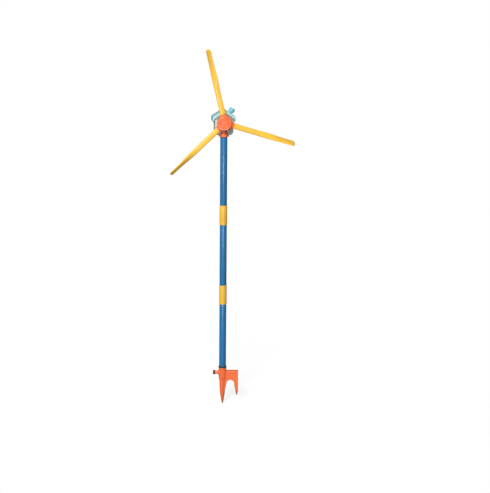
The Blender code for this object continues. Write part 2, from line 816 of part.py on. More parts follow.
def build_shaft(rotor):
    front = DRUM_SPAN[1] - 0.0030
    back = -(NACELLE_REAR - 0.0035 + ROTOR_OFFSET)
    shaft = turned(
        [
            (0, back),
            (SHAFT_RADIUS - 0.0005, back),
            (SHAFT_RADIUS, back + 0.0005),
            (SHAFT_RADIUS, front),
            (0.0017, front),
            (0.0017, front - 0.0080),
            (0, front - 0.0080),
        ],
        segments=24,
    )
    add("rotor_shaft", shaft, "steel", rotor)
    head = DRUM_SPAN[1] + GAP
    screw = turned(
        [(0, front - 0.0070), (0.0014, front - 0.0065), (0.0014, head), (0.0060, head)]
        + [(0.0060, head + 0.0010), (0.0034, head + 0.0020), (0, head + 0.0020)],
        segments=24,
    )
    add("hub_screw", screw, "steel", rotor)
    hub_back = DRUM_SPAN[0]
    bush_front = -(NACELLE_FRONT - 0.0008 - GAP + ROTOR_OFFSET)
    spacer = pipe(0.0060, SHAFT_RADIUS + GAP, bush_front + GAP, hub_back - GAP, segments=SMALL_SEGMENTS)
    add("hub_spacer", spacer, "white_nylon", rotor)
    clip_place = -(NACELLE_FRONT + 0.0130 + ROTOR_OFFSET)
    clip = pipe(0.0050, SHAFT_RADIUS + GAP, clip_place - 0.0010, clip_place, 0.0002, SMALL_SEGMENTS)
    add("shaft_clip", clip, "steel", rotor)


def gear_outline(teeth, phase):
    """A gear's outline in its own plane, with straight-flanked teeth and a little backlash."""
    pitch = TOOTH_MODULE * teeth / 2
    half_steps = (
        (pitch - 1.00 * TOOTH_MODULE, 0.84),
        (pitch + 0.70 * TOOTH_MODULE, 0.40),
    )
    outline = []
    for tooth in range(teeth):
        middle = phase + 2 * math.pi * tooth / teeth
        quarter = math.pi / 2 / teeth
        sides = [(radius, -share * quarter) for radius, share in half_steps]
        sides += [(radius, share * quarter) for radius, share in reversed(half_steps)]
        outline += [(r * math.cos(middle + turn), r * math.sin(middle + turn)) for r, turn in sides]
    return outline


def gear_mesh(teeth, phase, bore, low, high):
    """The toothed ring and its bore, bridged in one piece along +Z."""
    outline = gear_outline(teeth, phase)
    inner = [(bore * math.cos(a), bore * math.sin(a)) for a in (math.atan2(y, x) for x, y in outline)]
    rings = []
    for ring, height in ((inner, low), (outline, low), (outline, high), (inner, high)):
        rings.append([Vector((x, y, height)) for x, y in ring])
    return loft(rings, closed=True)


def build_gears(rotor, generator_axis):
    low, high = (-(edge + ROTOR_OFFSET) for edge in reversed(GEAR_SPAN))
    drive = gear_mesh(DRIVE_TEETH, PINION_DIRECTION, SHAFT_RADIUS + GAP, low, high)
    add("drive_gear", drive, "white_nylon", rotor)
    facing_gear = PINION_DIRECTION + math.pi + math.pi / PINION_TEETH
    width = GEAR_SPAN[1] - GEAR_SPAN[0]
    pinion = gear_mesh(PINION_TEETH, facing_gear, 0.0010 + GAP, 0, width)
    add("pinion", pinion, "white_nylon", generator_axis)
    shaft = rod(0.0010, -0.0008, width + 0.0125, 0.0002, 24)
    add("generator_shaft", shaft, "steel", generator_axis)


# ---------------------------------------------------------------- knob


def build_knob(knob_axis):
    low, high = KNOB_SPAN
    edge = 0.0012
    rings = []
    heights = [(low, edge), (low + edge, 0), (high - edge, 0), (high - edge * 0.3, edge * 0.3), (high, edge)]
    for height, inset in heights:
        ring = []
        for i in range(48):
            angle = 2 * math.pi * i / 48
            radius = KNOB_RADIUS - inset - 0.0005 * (1 + math.cos(12 * angle)) / 2
            ring.append(Vector((radius * math.cos(angle), radius * math.sin(angle), height)))
        rings.append(ring)
    knob = add("switch_knob", loft(rings), "light_blue", knob_axis)
    foot = tool("knob_foot", rod(0.0060, GAP, low + 0.002, 0.0003, 20), knob_axis)
    boolean(knob, "UNION", [foot])
    bore = rod(SPINDLE_RADIUS + GAP, -0.01, high - 0.004, 0.0001, SMALL_SEGMENTS)
    hole = tool("knob_bore", bore, knob_axis)
    boolean(knob, "DIFFERENCE", [hole])
    add("knob_spindle", rod(SPINDLE_RADIUS, -0.0215, high - 0.0043, 0.0003, 24), "steel", knob_axis)


def main():
    clear_scene()
    build_ground_spike()
    build_seal_ring()
    build_tubes()
    for side, (low, high) in COUPLER_HEIGHTS.items():
        build_coupler(f"{side}_coupler", low, high)
    build_neck_collar()
    build_yaw_fasteners()
    head = empty("head_axis", Matrix.Rotation(HEAD_YAW, 4, "Z"))
    build_nacelle_front(head)
    build_nacelle_rear(head)
    build_case_screws(head)
    build_roof(head)
    build_bushes(head)
    build_generator(head)
    build_electrics(head)
    rotor = empty("rotor_axis", facing_front(0, -ROTOR_OFFSET, HUB_HEIGHT), head)
    build_hub(rotor)
    build_hub_cap(rotor)
    build_blades(rotor)
    build_shaft(rotor)
    x, z = generator_centre()
    generator_axis = empty("generator_axis", facing_front(x, GEAR_SPAN[1], z), head)
    build_gears(rotor, generator_axis)
    build_knob(empty("knob_axis", knob_matrix(), head))


main()
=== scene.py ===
import json
import math

import bmesh
import bpy
from mathutils import Matrix, Vector


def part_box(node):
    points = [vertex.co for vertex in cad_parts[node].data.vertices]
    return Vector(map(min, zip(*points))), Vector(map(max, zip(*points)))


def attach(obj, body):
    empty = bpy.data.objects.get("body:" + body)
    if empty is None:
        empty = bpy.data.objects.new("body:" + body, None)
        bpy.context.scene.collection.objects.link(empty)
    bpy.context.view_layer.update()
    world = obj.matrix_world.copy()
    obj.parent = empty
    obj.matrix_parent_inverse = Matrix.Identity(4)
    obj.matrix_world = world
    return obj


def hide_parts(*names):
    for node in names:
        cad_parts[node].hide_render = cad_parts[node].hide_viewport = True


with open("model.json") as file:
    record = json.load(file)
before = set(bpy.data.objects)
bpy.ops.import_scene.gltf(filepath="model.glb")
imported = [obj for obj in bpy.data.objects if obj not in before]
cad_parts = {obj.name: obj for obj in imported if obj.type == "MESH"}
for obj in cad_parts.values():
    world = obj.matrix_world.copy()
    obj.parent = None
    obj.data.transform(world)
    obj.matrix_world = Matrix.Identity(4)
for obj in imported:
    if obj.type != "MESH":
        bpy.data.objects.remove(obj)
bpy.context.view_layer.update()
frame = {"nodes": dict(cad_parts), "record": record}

# A garden wind turbine: finer pieces in place of the visible CAD nodes, materials, a studio and a camera.
# The origin is on the pole's axis at ground level. The head is drawn in its own frame, with the rotor
# facing -Y, and stands turned by HEAD_YAW. The inside pieces stay as the CAD has them.

# ---------------------------------------------------------------- sizes, in metres

GAP = 0.0003  # between pieces that touch
ROUND = 96  # segments in a full turn
END_STEPS = 8  # in each rounded end of a prism
SHARP_ANGLE = 35  # degrees, above which an edge is shaded sharp
CUTTER_EDGE = 0.0001  # rounding of the rods that are joined on or cut out

# Pole
TUBE_RADIUS = 0.0125
TUBE_WALL = 0.0015
COUPLER_RADIUS = 0.0134
COUPLER_HEIGHTS = {"lower": (0.2890, 0.3596), "upper": (0.5822, 0.6521)}
COUPLER_SPIGOT_LENGTH = 0.0340
SPIGOT_WALL = 0.0022  # of the couplers
SEAM = 0.00005  # how far a parting line stands out

# Ground spike
SOCKET_RADIUS = 0.0142
SOCKET_TOP = 0.0470
SOCKET_FLOOR = 0.0160
SPIKE_TIP = -0.0955
PLATE_TOP = 0.0344
PLATE_REACH = 0.0570
PLATE_THICKNESS = 0.0160
PLATE_ROUNDING = 0.0014
ARCH_CENTRE = (0.0290, -0.0140)
ARCH_RADIUS = 0.0140
PRONG_TIP = (0.0525, -0.0585)
SPIGOT_HEIGHT = 0.0270
SPIGOT_RADIUS = 0.0062
SPIGOT_BORE = 0.0043
SPIGOT_END = 0.0266
PLUG_RADIUS = 0.0082
PLUG_END = 0.0350
STAKE_CELL = 0.0005  # of the remesh that melts the spike into one moulding

# Collar and swivel
COLLAR_RADIUS = 0.0175
COLLAR_HEIGHTS = (0.8962, 0.9090)
NECK_RADIUS = 0.0160
NECK_TOP = 0.9213
PIVOT_RADIUS = 0.0057
PIVOT_TOP = 0.9248
TUBE_DEPTH = 0.0070  # of the top tube inside the collar
COLLAR_PLUG_LENGTH = 0.0330

# Head
HEAD_YAW = math.radians(8)
HUB_HEIGHT = 0.9460
NACELLE_HALF_WIDTH = 0.0320
NACELLE_BOTTOM = 0.9015
NACELLE_CORNER = 0.0130
NACELLE_FRONT = -0.0120
NACELLE_SPLIT = 0.0190
NACELLE_REAR = 0.0380
WALL = 0.0022
SHELL_ROUNDINGS = (0.0038, 0.0025)  # of the case's front and back
SHELL_JOINT_EDGE = 0.0004
CUP_TOP = 0.9245
BELOW_HEAD = 0.8800  # where the holes for the neck start
BUSH_SEAT_RADIUS = 0.0060
ROOF_SLOPE = math.radians(33)
ROOF_PEAK = 0.9905
ROOF_HALF_WIDTH = 0.0402
ROOF_DEPTH = 0.0128  # measured straight down
ROOF_CLEARANCE = 0.0005
ROOF_SPAN = (-0.0150, 0.0410)
EAVE_HEIGHT = 0.0165  # at the eave's end, measured straight down
UNDERCUT = (0.0085, 0.0092, 0.0040)  # at the front: its depth, its rise at the eaves and elsewhere

# Rotor, measured forwards from the blades' plane
ROTOR_OFFSET = 0.0285
BLADE_RADIUS = 0.2583
BLADE_ROOT = 0.0220
BLADE_PHASE = math.radians(103.2)
BLADE_CHORDS = (0.0193, 0.0290)  # the tip's is 0.5 mm less than the CAD's, to stay inside its box
BLADE_THICKNESSES = (0.0092, 0.0050)
BLADE_POINTS = 40
BLADE_SHARP_ANGLE = 50
BLADE_TWIST = math.radians(58)
TWIST_SPAN = (0.125, 0.235)
TIP_ROUNDING = 0.0110
BLUNTNESS = 0.8  # 1 is an ellipse, and less is squarer
DRUM_RADIUS = 0.0262
DRUM_SPAN = (-0.0090, 0.0070)
SOCKET_MOUTH = 0.0325
CAP_RADIUS = 0.0240
CAP_FACE_RADIUS = 0.0162
CAP_FRONT = 0.0135
CAP_ROUND = 144  # segments in its full turn
SHAFT_RADIUS = 0.0030
HUB_CELL = 0.0004  # of the remesh that melts the drum and its sockets together

# Knob, standing square on the right-hand slope of the roof
KNOB_ACROSS = 0.0208
KNOB_DEPTH = 0.0040
KNOB_RADIUS = 0.0099
KNOB_SPAN = (0.0045, 0.0198)
KNOB_FLUTES = 12
FLUTE_DEPTH = 0.0005
SPINDLE_RADIUS = 0.0024
SPINDLE_DEPTH = 0.0165

CASE_SCREWS = ((-0.0248, 0.9125), (0.0248, 0.9125), (0.0, 0.9680))

# ---------------------------------------------------------------- meshes


def bridge(mesh, rings, closed=False):
    """Joins rings of vertices with faces. A ring of one vertex is a point."""
    pairs = list(zip(rings, rings[1:]))
    if closed:
        pairs.append((rings[-1], rings[0]))
    for first, second in pairs:
        count = max(len(first), len(second))
        for i in range(count):
            j = (i + 1) % count
            corners = [first[i % len(first)], first[j % len(first)]]
            corners += [second[j % len(second)], second[i % len(second)]]
            mesh.faces.new(list(dict.fromkeys(corners)))


def outward(mesh):
    """Turns every face outwards."""
    bmesh.ops.recalc_face_normals(mesh, faces=mesh.faces)
    if mesh.calc_volume(signed=True) < 0:
        bmesh.ops.reverse_faces(mesh, faces=mesh.faces)
    return mesh


def loft(rings, closed=False):
    """Skins rings of points, and caps the two ends unless the last ring meets the first."""
    mesh = bmesh.new()
    made = [[mesh.verts.new(point) for point in ring] for ring in rings]
    bridge(mesh, made, closed)
    if not closed:
        for ring in (made[0], made[-1]):
            if len(ring) > 2:
                mesh.faces.new(ring)
    return outward(mesh)


def full_turn(count):
    return [2 * math.pi * i / count for i in range(count)]


def turned(profile, closed=False, segments=ROUND, seam=0.0):
    """Turns (radius, height) points about Z. seam is how far the mould's two parting lines stand out."""
    rings = []
    for radius, height in profile:
        if radius == 0:
            rings.append([Vector((0, 0, height))])
            continue
        ring = []
        for i, angle in enumerate(full_turn(segments)):
            here = radius + (seam if i in (0, segments // 2) else 0)
            ring.append(Vector((here * math.cos(angle), here * math.sin(angle), height)))
        rings.append(ring)
    return loft(rings, closed)


def arc(centre, radius, start, end, steps):
    """Points on a round stretch between two angles in degrees."""
    angles = [math.radians(start + (end - start) * i / steps) for i in range(steps + 1)]
    return [(centre[0] + radius * math.cos(a), centre[1] + radius * math.sin(a)) for a in angles]


def rod(radius, low, high, edge=0.0003):
    """A solid cylinder about Z with rounded rims."""
    bottom = arc((radius - edge, low + edge), edge, -90, 0, 3)
    top = arc((radius - edge, high - edge), edge, 0, 90, 3)
    return turned([(0, low), *bottom, *top, (0, high)])


def offset(outline, distance):
    """Moves each side of a counter-clockwise outline inwards, corners mitred."""
    moved = []
    for i, point in enumerate(outline):
        here = Vector(point)
        before = (here - Vector(outline[i - 1])).normalized()
        after = (Vector(outline[(i + 1) % len(outline)]) - here).normalized()
        normals = [Vector((-side.y, side.x)) for side in (before, after)]
        middle = (normals[0] + normals[1]).normalized()
        moved.append(here + middle * distance / max(0.3, middle.dot(normals[0])))
    return moved


def quarter_turn():
    """The angles of a rounded end."""
    return [math.pi / 2 * step / END_STEPS for step in range(END_STEPS + 1)]


def prism(outline, start, end, rounding=(0, 0)):
    """An XZ outline drawn along Y, each end rounded over by its own radius."""
    turns = quarter_turn()
    first, last = rounding
    places = [(start + first * (1 - math.cos(t)), first * (1 - math.sin(t))) for t in turns]
    places += [(end - last * (1 - math.cos(t)), last * (1 - math.sin(t))) for t in reversed(turns)]
    rings = []
    for along, inset in dict.fromkeys(places):
        rings.append([Vector((x, along, z)) for x, z in offset(outline, inset)])
    return loft(rings)


def object_of(name, mesh, matrix=None, angle=SHARP_ANGLE):
    """An object whose mesh is moved by the matrix and shaded smooth, with its sharp edges kept."""
    mesh.transform(matrix or Matrix())
    data = bpy.data.meshes.new(name)
    outward(mesh).to_mesh(data)
    mesh.free()
    data.shade_smooth()
    data.set_sharp_from_angle(angle=math.radians(angle))
    obj = bpy.data.objects.new(name, data)
    bpy.context.scene.collection.objects.link(obj)
    return obj


def shaped(obj, unions=(), cuts=(), voxel=0.0, smooth=0):
    """Adds and cuts shapes, can melt the result into one moulding, and keeps only the finished mesh."""
    for operation, others in (("UNION", unions), ("DIFFERENCE", cuts)):
        for other in others:
            modifier = obj.modifiers.new(other.name, "BOOLEAN")
            modifier.operation = operation
            modifier.solver = "EXACT"
            modifier.object = other
    if voxel:
        remesh = obj.modifiers.new("moulding", "REMESH")
        remesh.mode = "VOXEL"
        remesh.voxel_size = voxel
        remesh.use_smooth_shade = True
    if smooth:
        soften = obj.modifiers.new("soft_edges", "SMOOTH")
        soften.factor = 0.5
        soften.iterations = smooth
    graph = bpy.context.evaluated_depsgraph_get()
    data = bpy.data.meshes.new_from_object(obj.evaluated_get(graph))
    obj.modifiers.clear()
    obj.data = data
    data.shade_smooth()
    if not voxel:
        data.set_sharp_from_angle(angle=math.radians(SHARP_ANGLE))
    for other in [*unions, *cuts]:
        bpy.data.objects.remove(other, do_unlink=True)
    return obj


# ---------------------------------------------------------------- materials

ORANGE = (0.965, 0.178, 0.054)
YELLOW = (0.90, 0.515, 0.055)
BLUE = (0.022, 0.176, 0.405)
TEAL = (0.43, 0.70, 0.69)
LIGHT_BLUE = (0.20, 0.55, 0.66)
PALE_GREY = (0.52, 0.62, 0.58)
DARK_RED = (0.16, 0.035, 0.028)
RUBBER = (0.022, 0.017, 0.012)
STEEL = (0.62, 0.62, 0.64)
WHITE_NYLON = (0.78, 0.77, 0.72)
BLACK = (0.03, 0.03, 0.03)
BOARD_GREEN = (0.03, 0.20, 0.08)

# painted shade: a dark brown that darkens the spike's lowest tip, standing in for the shade there
TIP_SHADE_COLOUR = (0.115, 0.070, 0.032)
TIP_SHADE_SLANT = (-0.68, 0, 1)  # square to the slanted line below which shade is painted on the spike's tip
TIP_SHADE_EDGES = (-0.071, -0.087)  # dot products with it, where the painted shade starts and where it is full
BUMP_DEPTH = 0.0002


def node(tree, kind, inputs=None, **settings):
    """Adds a shader node. An input is a plain value or another node's output socket."""
    made = tree.nodes.new(kind)
    for key, value in settings.items():
        setattr(made, key, value)
    for key, value in (inputs or {}).items():
        if isinstance(value, bpy.types.NodeSocket):
            tree.links.new(value, made.inputs[key])
        else:
            made.inputs[key].default_value = value
    return made


def noise(tree, vector, scale, detail=2.0, rough=0.5):
    inputs = {"Vector": vector, "Scale": scale, "Detail": detail, "Roughness": rough}
    return node(tree, "ShaderNodeTexNoise", inputs).outputs["Fac"]


def ranged(tree, value, low, high, to_low, to_high):
    """Maps low..high to to_low..to_high, and holds it there outside that range."""
    inputs = {0: value, 1: low, 2: high, 3: to_low, 4: to_high}
    return node(tree, "ShaderNodeMapRange", inputs).outputs[0]


def mixed(tree, factor, first, second):
    """Mixes two colours. The numbers are the sockets that a colour mix uses."""
    made = node(tree, "ShaderNodeMix", data_type="RGBA")
    for index, value in ((0, factor), (6, first), (7, second)):
        if isinstance(value, bpy.types.NodeSocket):
            tree.links.new(value, made.inputs[index])
        else:
            made.inputs[index].default_value = value
    return made.outputs[2]


def stretched(tree, vector, scale):
    return node(tree, "ShaderNodeMapping", {"Vector": vector, "Scale": scale}).outputs[0]


def product(tree, first, second):
    return node(tree, "ShaderNodeMath", {0: first, 1: second}, operation="MULTIPLY").outputs[0]


def bumped(tree, shader, strength, height):
    settings = {"Strength": strength, "Distance": BUMP_DEPTH, "Height": height}
    bump = node(tree, "ShaderNodeBump", settings)
    tree.links.new(bump.outputs[0], shader.inputs["Normal"])


def object_point(tree):
    """The shaded point in the object's own coordinates."""
    return node(tree, "ShaderNodeTexCoord").outputs["Object"]


def shaded(colour, share):
    return (*(min(1.0, channel * share) for channel in colour), 1.0)


def blank(name):
    made = bpy.data.materials.new(name)
    made.use_nodes = True
    return made, made.node_tree, made.node_tree.nodes["Principled BSDF"]


def paint_tip_shade(tree, where, base, strength):
    """Paints shade on the lowest parts below a slanted line, in patches: a painted shade that darkens the
    spike's tip.
    """
    slanted = node(tree, "ShaderNodeVectorMath", {0: where, 1: TIP_SHADE_SLANT}, operation="DOT_PRODUCT")
    patches = ranged(tree, noise(tree, where, 120.0, 4.0), 0.35, 0.65, 0.6, 1)
    depth = ranged(tree, slanted.outputs["Value"], *TIP_SHADE_EDGES, 0, strength)
    return mixed(tree, product(tree, patches, depth), base, shaded(TIP_SHADE_COLOUR, 1.0))


def moulded(name, colour, roughness, coat=0.12, stretch=(1, 1, 1), grain=0.05, wear=0.30, tip_shade=0.0):
    """Injection-moulded plastic: cloudy colour, fine pitted skin, faint scuffs, paler worn edges and,
    where asked, painted shade on the lowest tip.
    """
    made, tree, shader = blank(name)
    where = object_point(tree)
    cloud = noise(tree, where, 28.0, 3.0)
    base = mixed(tree, ranged(tree, cloud, 0.3, 0.7, 0, 1), shaded(colour, 0.93), shaded(colour, 1.04))
    speck = noise(tree, where, 1400.0, 2.0, 0.7)
    base = mixed(tree, ranged(tree, speck, 0.62, 0.75, 0, 0.10), base, shaded(colour, 0.70))
    edge = node(tree, "ShaderNodeNewGeometry").outputs["Pointiness"]
    edge = ranged(tree, edge, 0.53, 0.62, 0, wear)
    broken = ranged(tree, noise(tree, where, 240.0, 4.0), 0.40, 0.60, 0.2, 1)
    pale = tuple(0.55 * channel + 0.45 for channel in colour)
    base = mixed(tree, product(tree, edge, broken), base, shaded(pale, 1.0))
    # painted shade darkening the lowest tip, where it is asked for
    if tip_shade:
        base = paint_tip_shade(tree, where, base, tip_shade)
    tree.links.new(base, shader.inputs["Base Color"])
    scuffs = noise(tree, stretched(tree, where, (260, 260, 26)), 1.0, 4.0, 0.65)
    rough = ranged(tree, scuffs, 0.35, 0.70, roughness - 0.05, roughness + 0.11)
    tree.links.new(rough, shader.inputs["Roughness"])
    bumped(tree, shader, grain, noise(tree, stretched(tree, where, stretch), 900.0, 3.0, 0.6))
    shader.inputs["Coat Weight"].default_value = coat
    shader.inputs["Coat Roughness"].default_value = 0.18
    return made


def rubbery(name, colour):
    """Matt rubber with a patchy grey bloom and a pitted skin."""
    made, tree, shader = blank(name)
    where = object_point(tree)
    bloom = noise(tree, where, 160.0, 4.0)
    base = mixed(tree, ranged(tree, bloom, 0.4, 0.7, 0, 1), shaded(colour, 1.0), shaded(colour, 1.9))
    tree.links.new(base, shader.inputs["Base Color"])
    tree.links.new(ranged(tree, bloom, 0.3, 0.7, 0.62, 0.85), shader.inputs["Roughness"])
    bumped(tree, shader, 0.25, noise(tree, where, 1800.0, 2.0))
    return made


def plated(name, colour):
    """Plated steel with fine drawn lines and light tarnish."""
    made, tree, shader = blank(name)
    where = object_point(tree)
    lines = noise(tree, stretched(tree, where, (3000, 60, 3000)), 1.0, 2.0)
    tarnish = noise(tree, where, 300.0, 4.0)
    base = mixed(tree, ranged(tree, tarnish, 0.45, 0.7, 0, 1), shaded(colour, 1.0), shaded(colour, 0.72))
    tree.links.new(base, shader.inputs["Base Color"])
    tree.links.new(ranged(tree, lines, 0.3, 0.7, 0.24, 0.40), shader.inputs["Roughness"])
    shader.inputs["Metallic"].default_value = 1.0
    return made


def laminate(name, colour):
    """A circuit board: green mask with thin copper tracks under it."""
    made, tree, shader = blank(name)
    where = object_point(tree)
    tracks = node(tree, "ShaderNodeTexBrick", {"Vector": where, "Scale": 160.0})
    base = mixed(tree, tracks.outputs["Fac"], shaded(colour, 1.0), shaded(colour, 1.8))
    tree.links.new(base, shader.inputs["Base Color"])
    weave = noise(tree, where, 2500.0)
    tree.links.new(ranged(tree, weave, 0.3, 0.7, 0.35, 0.55), shader.inputs["Roughness"])
    return made


MATERIALS = {
    # the orange stake gets painted shade at its lowest tip
    "orange": moulded("orange", ORANGE, 0.38, tip_shade=0.9),
    "yellow": moulded("yellow", YELLOW, 0.36),
    "blue": moulded("blue", BLUE, 0.30, coat=0.25, stretch=(1, 1, 0.03), grain=0.08, wear=0.20),
    "teal": moulded("teal", TEAL, 0.42),
    "light_blue": moulded("light_blue", LIGHT_BLUE, 0.38),
    "pale_grey": moulded("pale_grey", PALE_GREY, 0.45),
    "dark_red": moulded("dark_red", DARK_RED, 0.55, coat=0.0),
    "rubber": rubbery("rubber", RUBBER),
    "steel": plated("steel", STEEL),
    "white_nylon": moulded("white_nylon", WHITE_NYLON, 0.50, coat=0.0),
    "black": moulded("black", BLACK, 0.50, coat=0.0),
    "board_green": laminate("board_green", BOARD_GREEN),
}

RECORD = frame["record"]
BODY_OF = {name: body for body, names in RECORD["behaviour"]["bodies"].items() for name in names}
SLOT_OF = {part["node"]: part["material_slot"] for part in RECORD["subparts"]}
PIECES = {}  # each finished piece, by the CAD node that it stands for


def finish_piece(obj, cad_node):
    """Gives a detailed piece its material and body, and lets it stand for its CAD node."""
    slot = SLOT_OF[cad_node]
    obj.data.materials.clear()
    obj.data.materials.append(MATERIALS[slot])
    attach(obj, BODY_OF[cad_node])
    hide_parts(cad_node)
    PIECES[cad_node] = obj


# ---------------------------------------------------------------- places


def place(x=0.0, y=0.0, z=0.0):
    return Matrix.Translation((x, y, z))


def facing_front(x=0.0, y=0.0, z=0.0):
    """Turns a shape's +Z to the head's front, -Y."""
    return place(x, y, z) @ Matrix.Rotation(math.pi / 2, 4, "X")


def facing_back(x=0.0, y=0.0, z=0.0):
    """Turns a shape's +Z to the head's back, +Y."""
    return place(x, y, z) @ Matrix.Rotation(-math.pi / 2, 4, "X")


HEAD = Matrix.Rotation(HEAD_YAW, 4, "Z")
ROTOR = HEAD @ facing_front(0, -ROTOR_OFFSET, HUB_HEIGHT)


def knob_place():
    """The knob's axis: square to the right-hand slope, from its surface outwards."""
    height = ROOF_PEAK - KNOB_ACROSS * math.tan(ROOF_SLOPE)
    return HEAD @ place(KNOB_ACROSS, KNOB_DEPTH, height) @ Matrix.Rotation(ROOF_SLOPE, 4, "Y")


# ---------------------------------------------------------------- pole


def build_tubes():
    """The pole's three tubes, between the heights that the frame gives."""
    for part in ("lower", "middle", "upper"):
        low, high = (corner.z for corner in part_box(f"{part}_tube"))
        edge, inner = 0.0003, TUBE_RADIUS - TUBE_WALL
        profile = [(inner, low + edge), (inner + edge, low)]
        profile += arc((TUBE_RADIUS - edge, low + edge), edge, -90, 0, 3)
        profile += arc((TUBE_RADIUS - edge, high - edge), edge, 0, 90, 3)
        profile += [(inner + edge, high), (inner, high - edge)]
        tube = object_of(f"pole_{part}", turned(profile, closed=True))
        finish_piece(tube, f"{part}_tube")


def build_couplers():
    """The two bands between the tubes, each with a spigot inside both of its tubes."""
    spigot = TUBE_RADIUS - TUBE_WALL - GAP
    bore = spigot - SPIGOT_WALL
    reach, edge = COUPLER_SPIGOT_LENGTH, 0.0007
    for part, (low, high) in COUPLER_HEIGHTS.items():
        profile = [(bore, low - reach), (spigot - edge, low - reach)]
        profile += [(spigot, low - reach + edge), (spigot, low)]
        profile += arc((COUPLER_RADIUS - edge, low + edge), edge, -90, 0, 5)
        profile += arc((COUPLER_RADIUS - edge, high - edge), edge, 0, 90, 5)
        profile += [(spigot, high), (spigot, high + reach - edge)]
        profile += [(spigot - edge, high + reach), (bore, high + reach)]
        band = object_of(f"coupler_{part}", turned(profile, closed=True, seam=SEAM))
        finish_piece(band, f"{part}_coupler")


def build_seal():
    """A rubber ring with a shallow groove round its middle."""
    low, high = (corner.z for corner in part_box("seal_ring"))
    inner, outer = TUBE_RADIUS + GAP, TUBE_RADIUS + 0.0024
    edge, groove, groove_shift = 0.0009, 0.0006, 0.0002
    middle = (low + high) / 2
    profile = [
        (inner, low),
        *arc((outer - edge, low + edge), edge, -90, 0, 6),
        (outer, middle - groove),
        *arc((outer + groove_shift, middle), groove, 250, 110, 6),
        (outer, middle + groove),
        *arc((outer - edge, high - edge), edge, 0, 90, 6),
        (inner, high),
    ]
    finish_piece(object_of("ring_seal", turned(profile, closed=True)), "seal_ring")


def build_collar():
    """Collar outside the top tube, plug inside it, and the pivot that the head turns on."""
    low, high = COLLAR_HEIGHTS
    plug, socket = TUBE_RADIUS - TUBE_WALL - GAP, TUBE_RADIUS + GAP
    shoulder = low + TUBE_DEPTH + GAP
    plug_end = shoulder - COLLAR_PLUG_LENGTH
    roof = NECK_TOP - 0.0040
    hollow, screw_hole, taper = 0.0080, 0.0017, 0.0010
    mouth, lower_edge, upper_edge, fillet, neck_edge = 0.0003, 0.0008, 0.0016, 0.0003, 0.0004
    profile = [
        (screw_hole, PIVOT_TOP),
        (screw_hole, roof),
        (hollow, roof),
        (hollow, plug_end),
        (plug - taper, plug_end),
        (plug, plug_end + taper),
        (plug, shoulder),
        (socket, shoulder),
        (socket, low + mouth),
        (socket + mouth, low),
        *arc((COLLAR_RADIUS - lower_edge, low + lower_edge), lower_edge, -90, 0, 5),
        *arc((COLLAR_RADIUS - upper_edge, high - upper_edge), upper_edge, 0, 90, 8),
        *arc((NECK_RADIUS + fillet, high + fillet), fillet, 270, 180, 4),
        (NECK_RADIUS, NECK_TOP - neck_edge),
        (NECK_RADIUS - neck_edge, NECK_TOP),
        (PIVOT_RADIUS, NECK_TOP),
        (PIVOT_RADIUS, PIVOT_TOP),
    ]
    collar = object_of("collar", turned(profile, closed=True, seam=SEAM))
    finish_piece(collar, "neck_collar")


# ---------------------------------------------------------------- ground spike


def spike_outline():
    """The tread plate, the arch under it and the second prong, in XZ, counter-clockwise."""
    tip_x, tip_z = PRONG_TIP
    arch_x, arch_z = ARCH_CENTRE
    tip_radius, corner = 0.0018, 0.0020
    return [
        (0.0020, PLATE_TOP),
        (0.0020, -0.0560),
        (0.0060, -0.0520),
        (arch_x - ARCH_RADIUS - 0.0035, -0.0320),
        *arc(ARCH_CENTRE, ARCH_RADIUS, 180, 0, 36),
        (arch_x + ARCH_RADIUS + 0.0004, arch_z - 0.0060),
        (tip_x - 0.0050, -0.0400),
        *arc((tip_x, tip_z + tip_radius), tip_radius, 200, 330, 8),
        (PLATE_REACH, -0.0420),
        *arc((PLATE_REACH - corner, PLATE_TOP - corner), corner, 0, 90, 8),
    ]


def spike_profile():
    """The main spike and its tube socket, turned about the pole's axis."""
    tip_radius, edge = 0.0012, 0.0008
    return [
        (0, SPIKE_TIP),
        *arc((0, SPIKE_TIP + tip_radius), tip_radius, -60, -10, 4),
        (0.0026, -0.0880),
        (0.0052, -0.0770),
        (0.0084, -0.0570),
        (0.0105, -0.0300),
        (0.0118, 0.0030),
        (SOCKET_RADIUS - 0.0006, 0.0052),
        (SOCKET_RADIUS, 0.0060),
        (SOCKET_RADIUS, SOCKET_TOP - edge),
        (SOCKET_RADIUS - edge, SOCKET_TOP),
        (0, SOCKET_TOP),
    ]


def sideways():
    """Turns a shape's +Z to the side spigot's direction, -X."""
    return place(0, 0, SPIGOT_HEIGHT) @ Matrix.Rotation(-math.pi / 2, 4, "Y")


def spigot_profile():
    """The side spigot, flared where it meets the socket."""
    flare, edge = 0.0035, 0.0006
    return [
        (0, 0),
        (SPIGOT_RADIUS + flare, 0),
        (SPIGOT_RADIUS + flare, SOCKET_RADIUS - 0.0004),
        (SPIGOT_RADIUS + 0.0012, SOCKET_RADIUS + 0.0018),
        (SPIGOT_RADIUS, SOCKET_RADIUS + 0.0050),
        (SPIGOT_RADIUS, SPIGOT_END - edge),
        (SPIGOT_RADIUS - edge, SPIGOT_END),
        (0, SPIGOT_END),
    ]


def build_stake():
    """The spike, plate, prong and spigot, melted into one moulding."""
    half = PLATE_THICKNESS / 2
    stake = object_of("stake", turned(spike_profile()))
    plate = prism(spike_outline(), -half, half, (PLATE_ROUNDING, PLATE_ROUNDING))
    plate = object_of("plate", plate)
    spigot = object_of("spigot", turned(spigot_profile()), sideways())
    socket = object_of("socket", rod(TUBE_RADIUS + GAP, SOCKET_FLOOR, SOCKET_TOP + 0.01))
    bore = object_of("bore", rod(SPIGOT_BORE, SOCKET_RADIUS + 0.0010, 0.04), sideways())
    shaped(stake, [plate, spigot], [socket, bore], voxel=STAKE_CELL, smooth=5)
    finish_piece(stake, "ground_spike")


